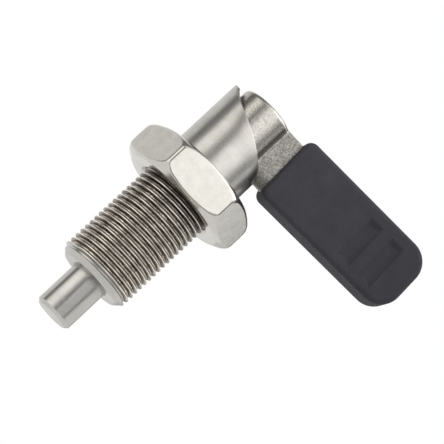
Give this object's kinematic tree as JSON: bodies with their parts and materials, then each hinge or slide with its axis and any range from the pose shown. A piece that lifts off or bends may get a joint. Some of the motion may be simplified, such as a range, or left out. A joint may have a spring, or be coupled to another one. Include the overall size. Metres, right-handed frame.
{
  "type": "indexing plunger",
  "caption": "Indexing plunger with a threaded body and lock nut, a round pin, and a cam lever with a plastic grip that lifts the pin when it is turned.",
  "frame": {"origin": "centre of the lock nut's bearing face, on the plunger's axis, where the body enters the mounting plate", "axes": "-Z along the thread towards the pin's tip, +Z towards the lever, +X along the lever's arm with the pin out"},
  "size_m": [0.0704, 0.0304, 0.075],
  "materials": {
    "turned_stainless": "fine turned",
    "nut_stainless": "bright turned",
    "ground_stainless": "ground",
    "spring_wire": "drawn wire",
    "cast_stainless": "blasted casting",
    "grip_plastic": "fine grained"
  },
  "bodies": {
    "housing": {"plunger_body": "turned_stainless", "spring": "spring_wire"},
    "nut": {"lock_nut": "nut_stainless"},
    "plunger": {"plunger_pin": "ground_stainless"},
    "lever": {"lever": "cast_stainless", "retaining_pin": "ground_stainless", "grip_cover": "grip_plastic"}
  },
  "joints": [
    {"name": "nut_travel", "type": "slide", "parent": "housing", "child": "nut", "axis": [0, 0, 1], "range_m": [-0.027, 0]},
    {"name": "pin_lift", "type": "slide", "parent": "housing", "child": "plunger", "axis": [0, 0, 1], "range_m": [0, 0.0141], "deforming": ["spring"]},
    {"name": "lever_turn", "type": "hinge", "parent": "plunger", "child": "lever", "pos_m": [0, 0, 0.0225], "axis": [0, 0, 1], "range_deg": [0, 180], "stiffness_Nm_per_rad": 0.0469, "springref_deg": -63.83}
  ],
  "couplings": [
    {"joint": "pin_lift", "follows": "lever_turn", "m_per_rad": 0.004488}
  ]
}
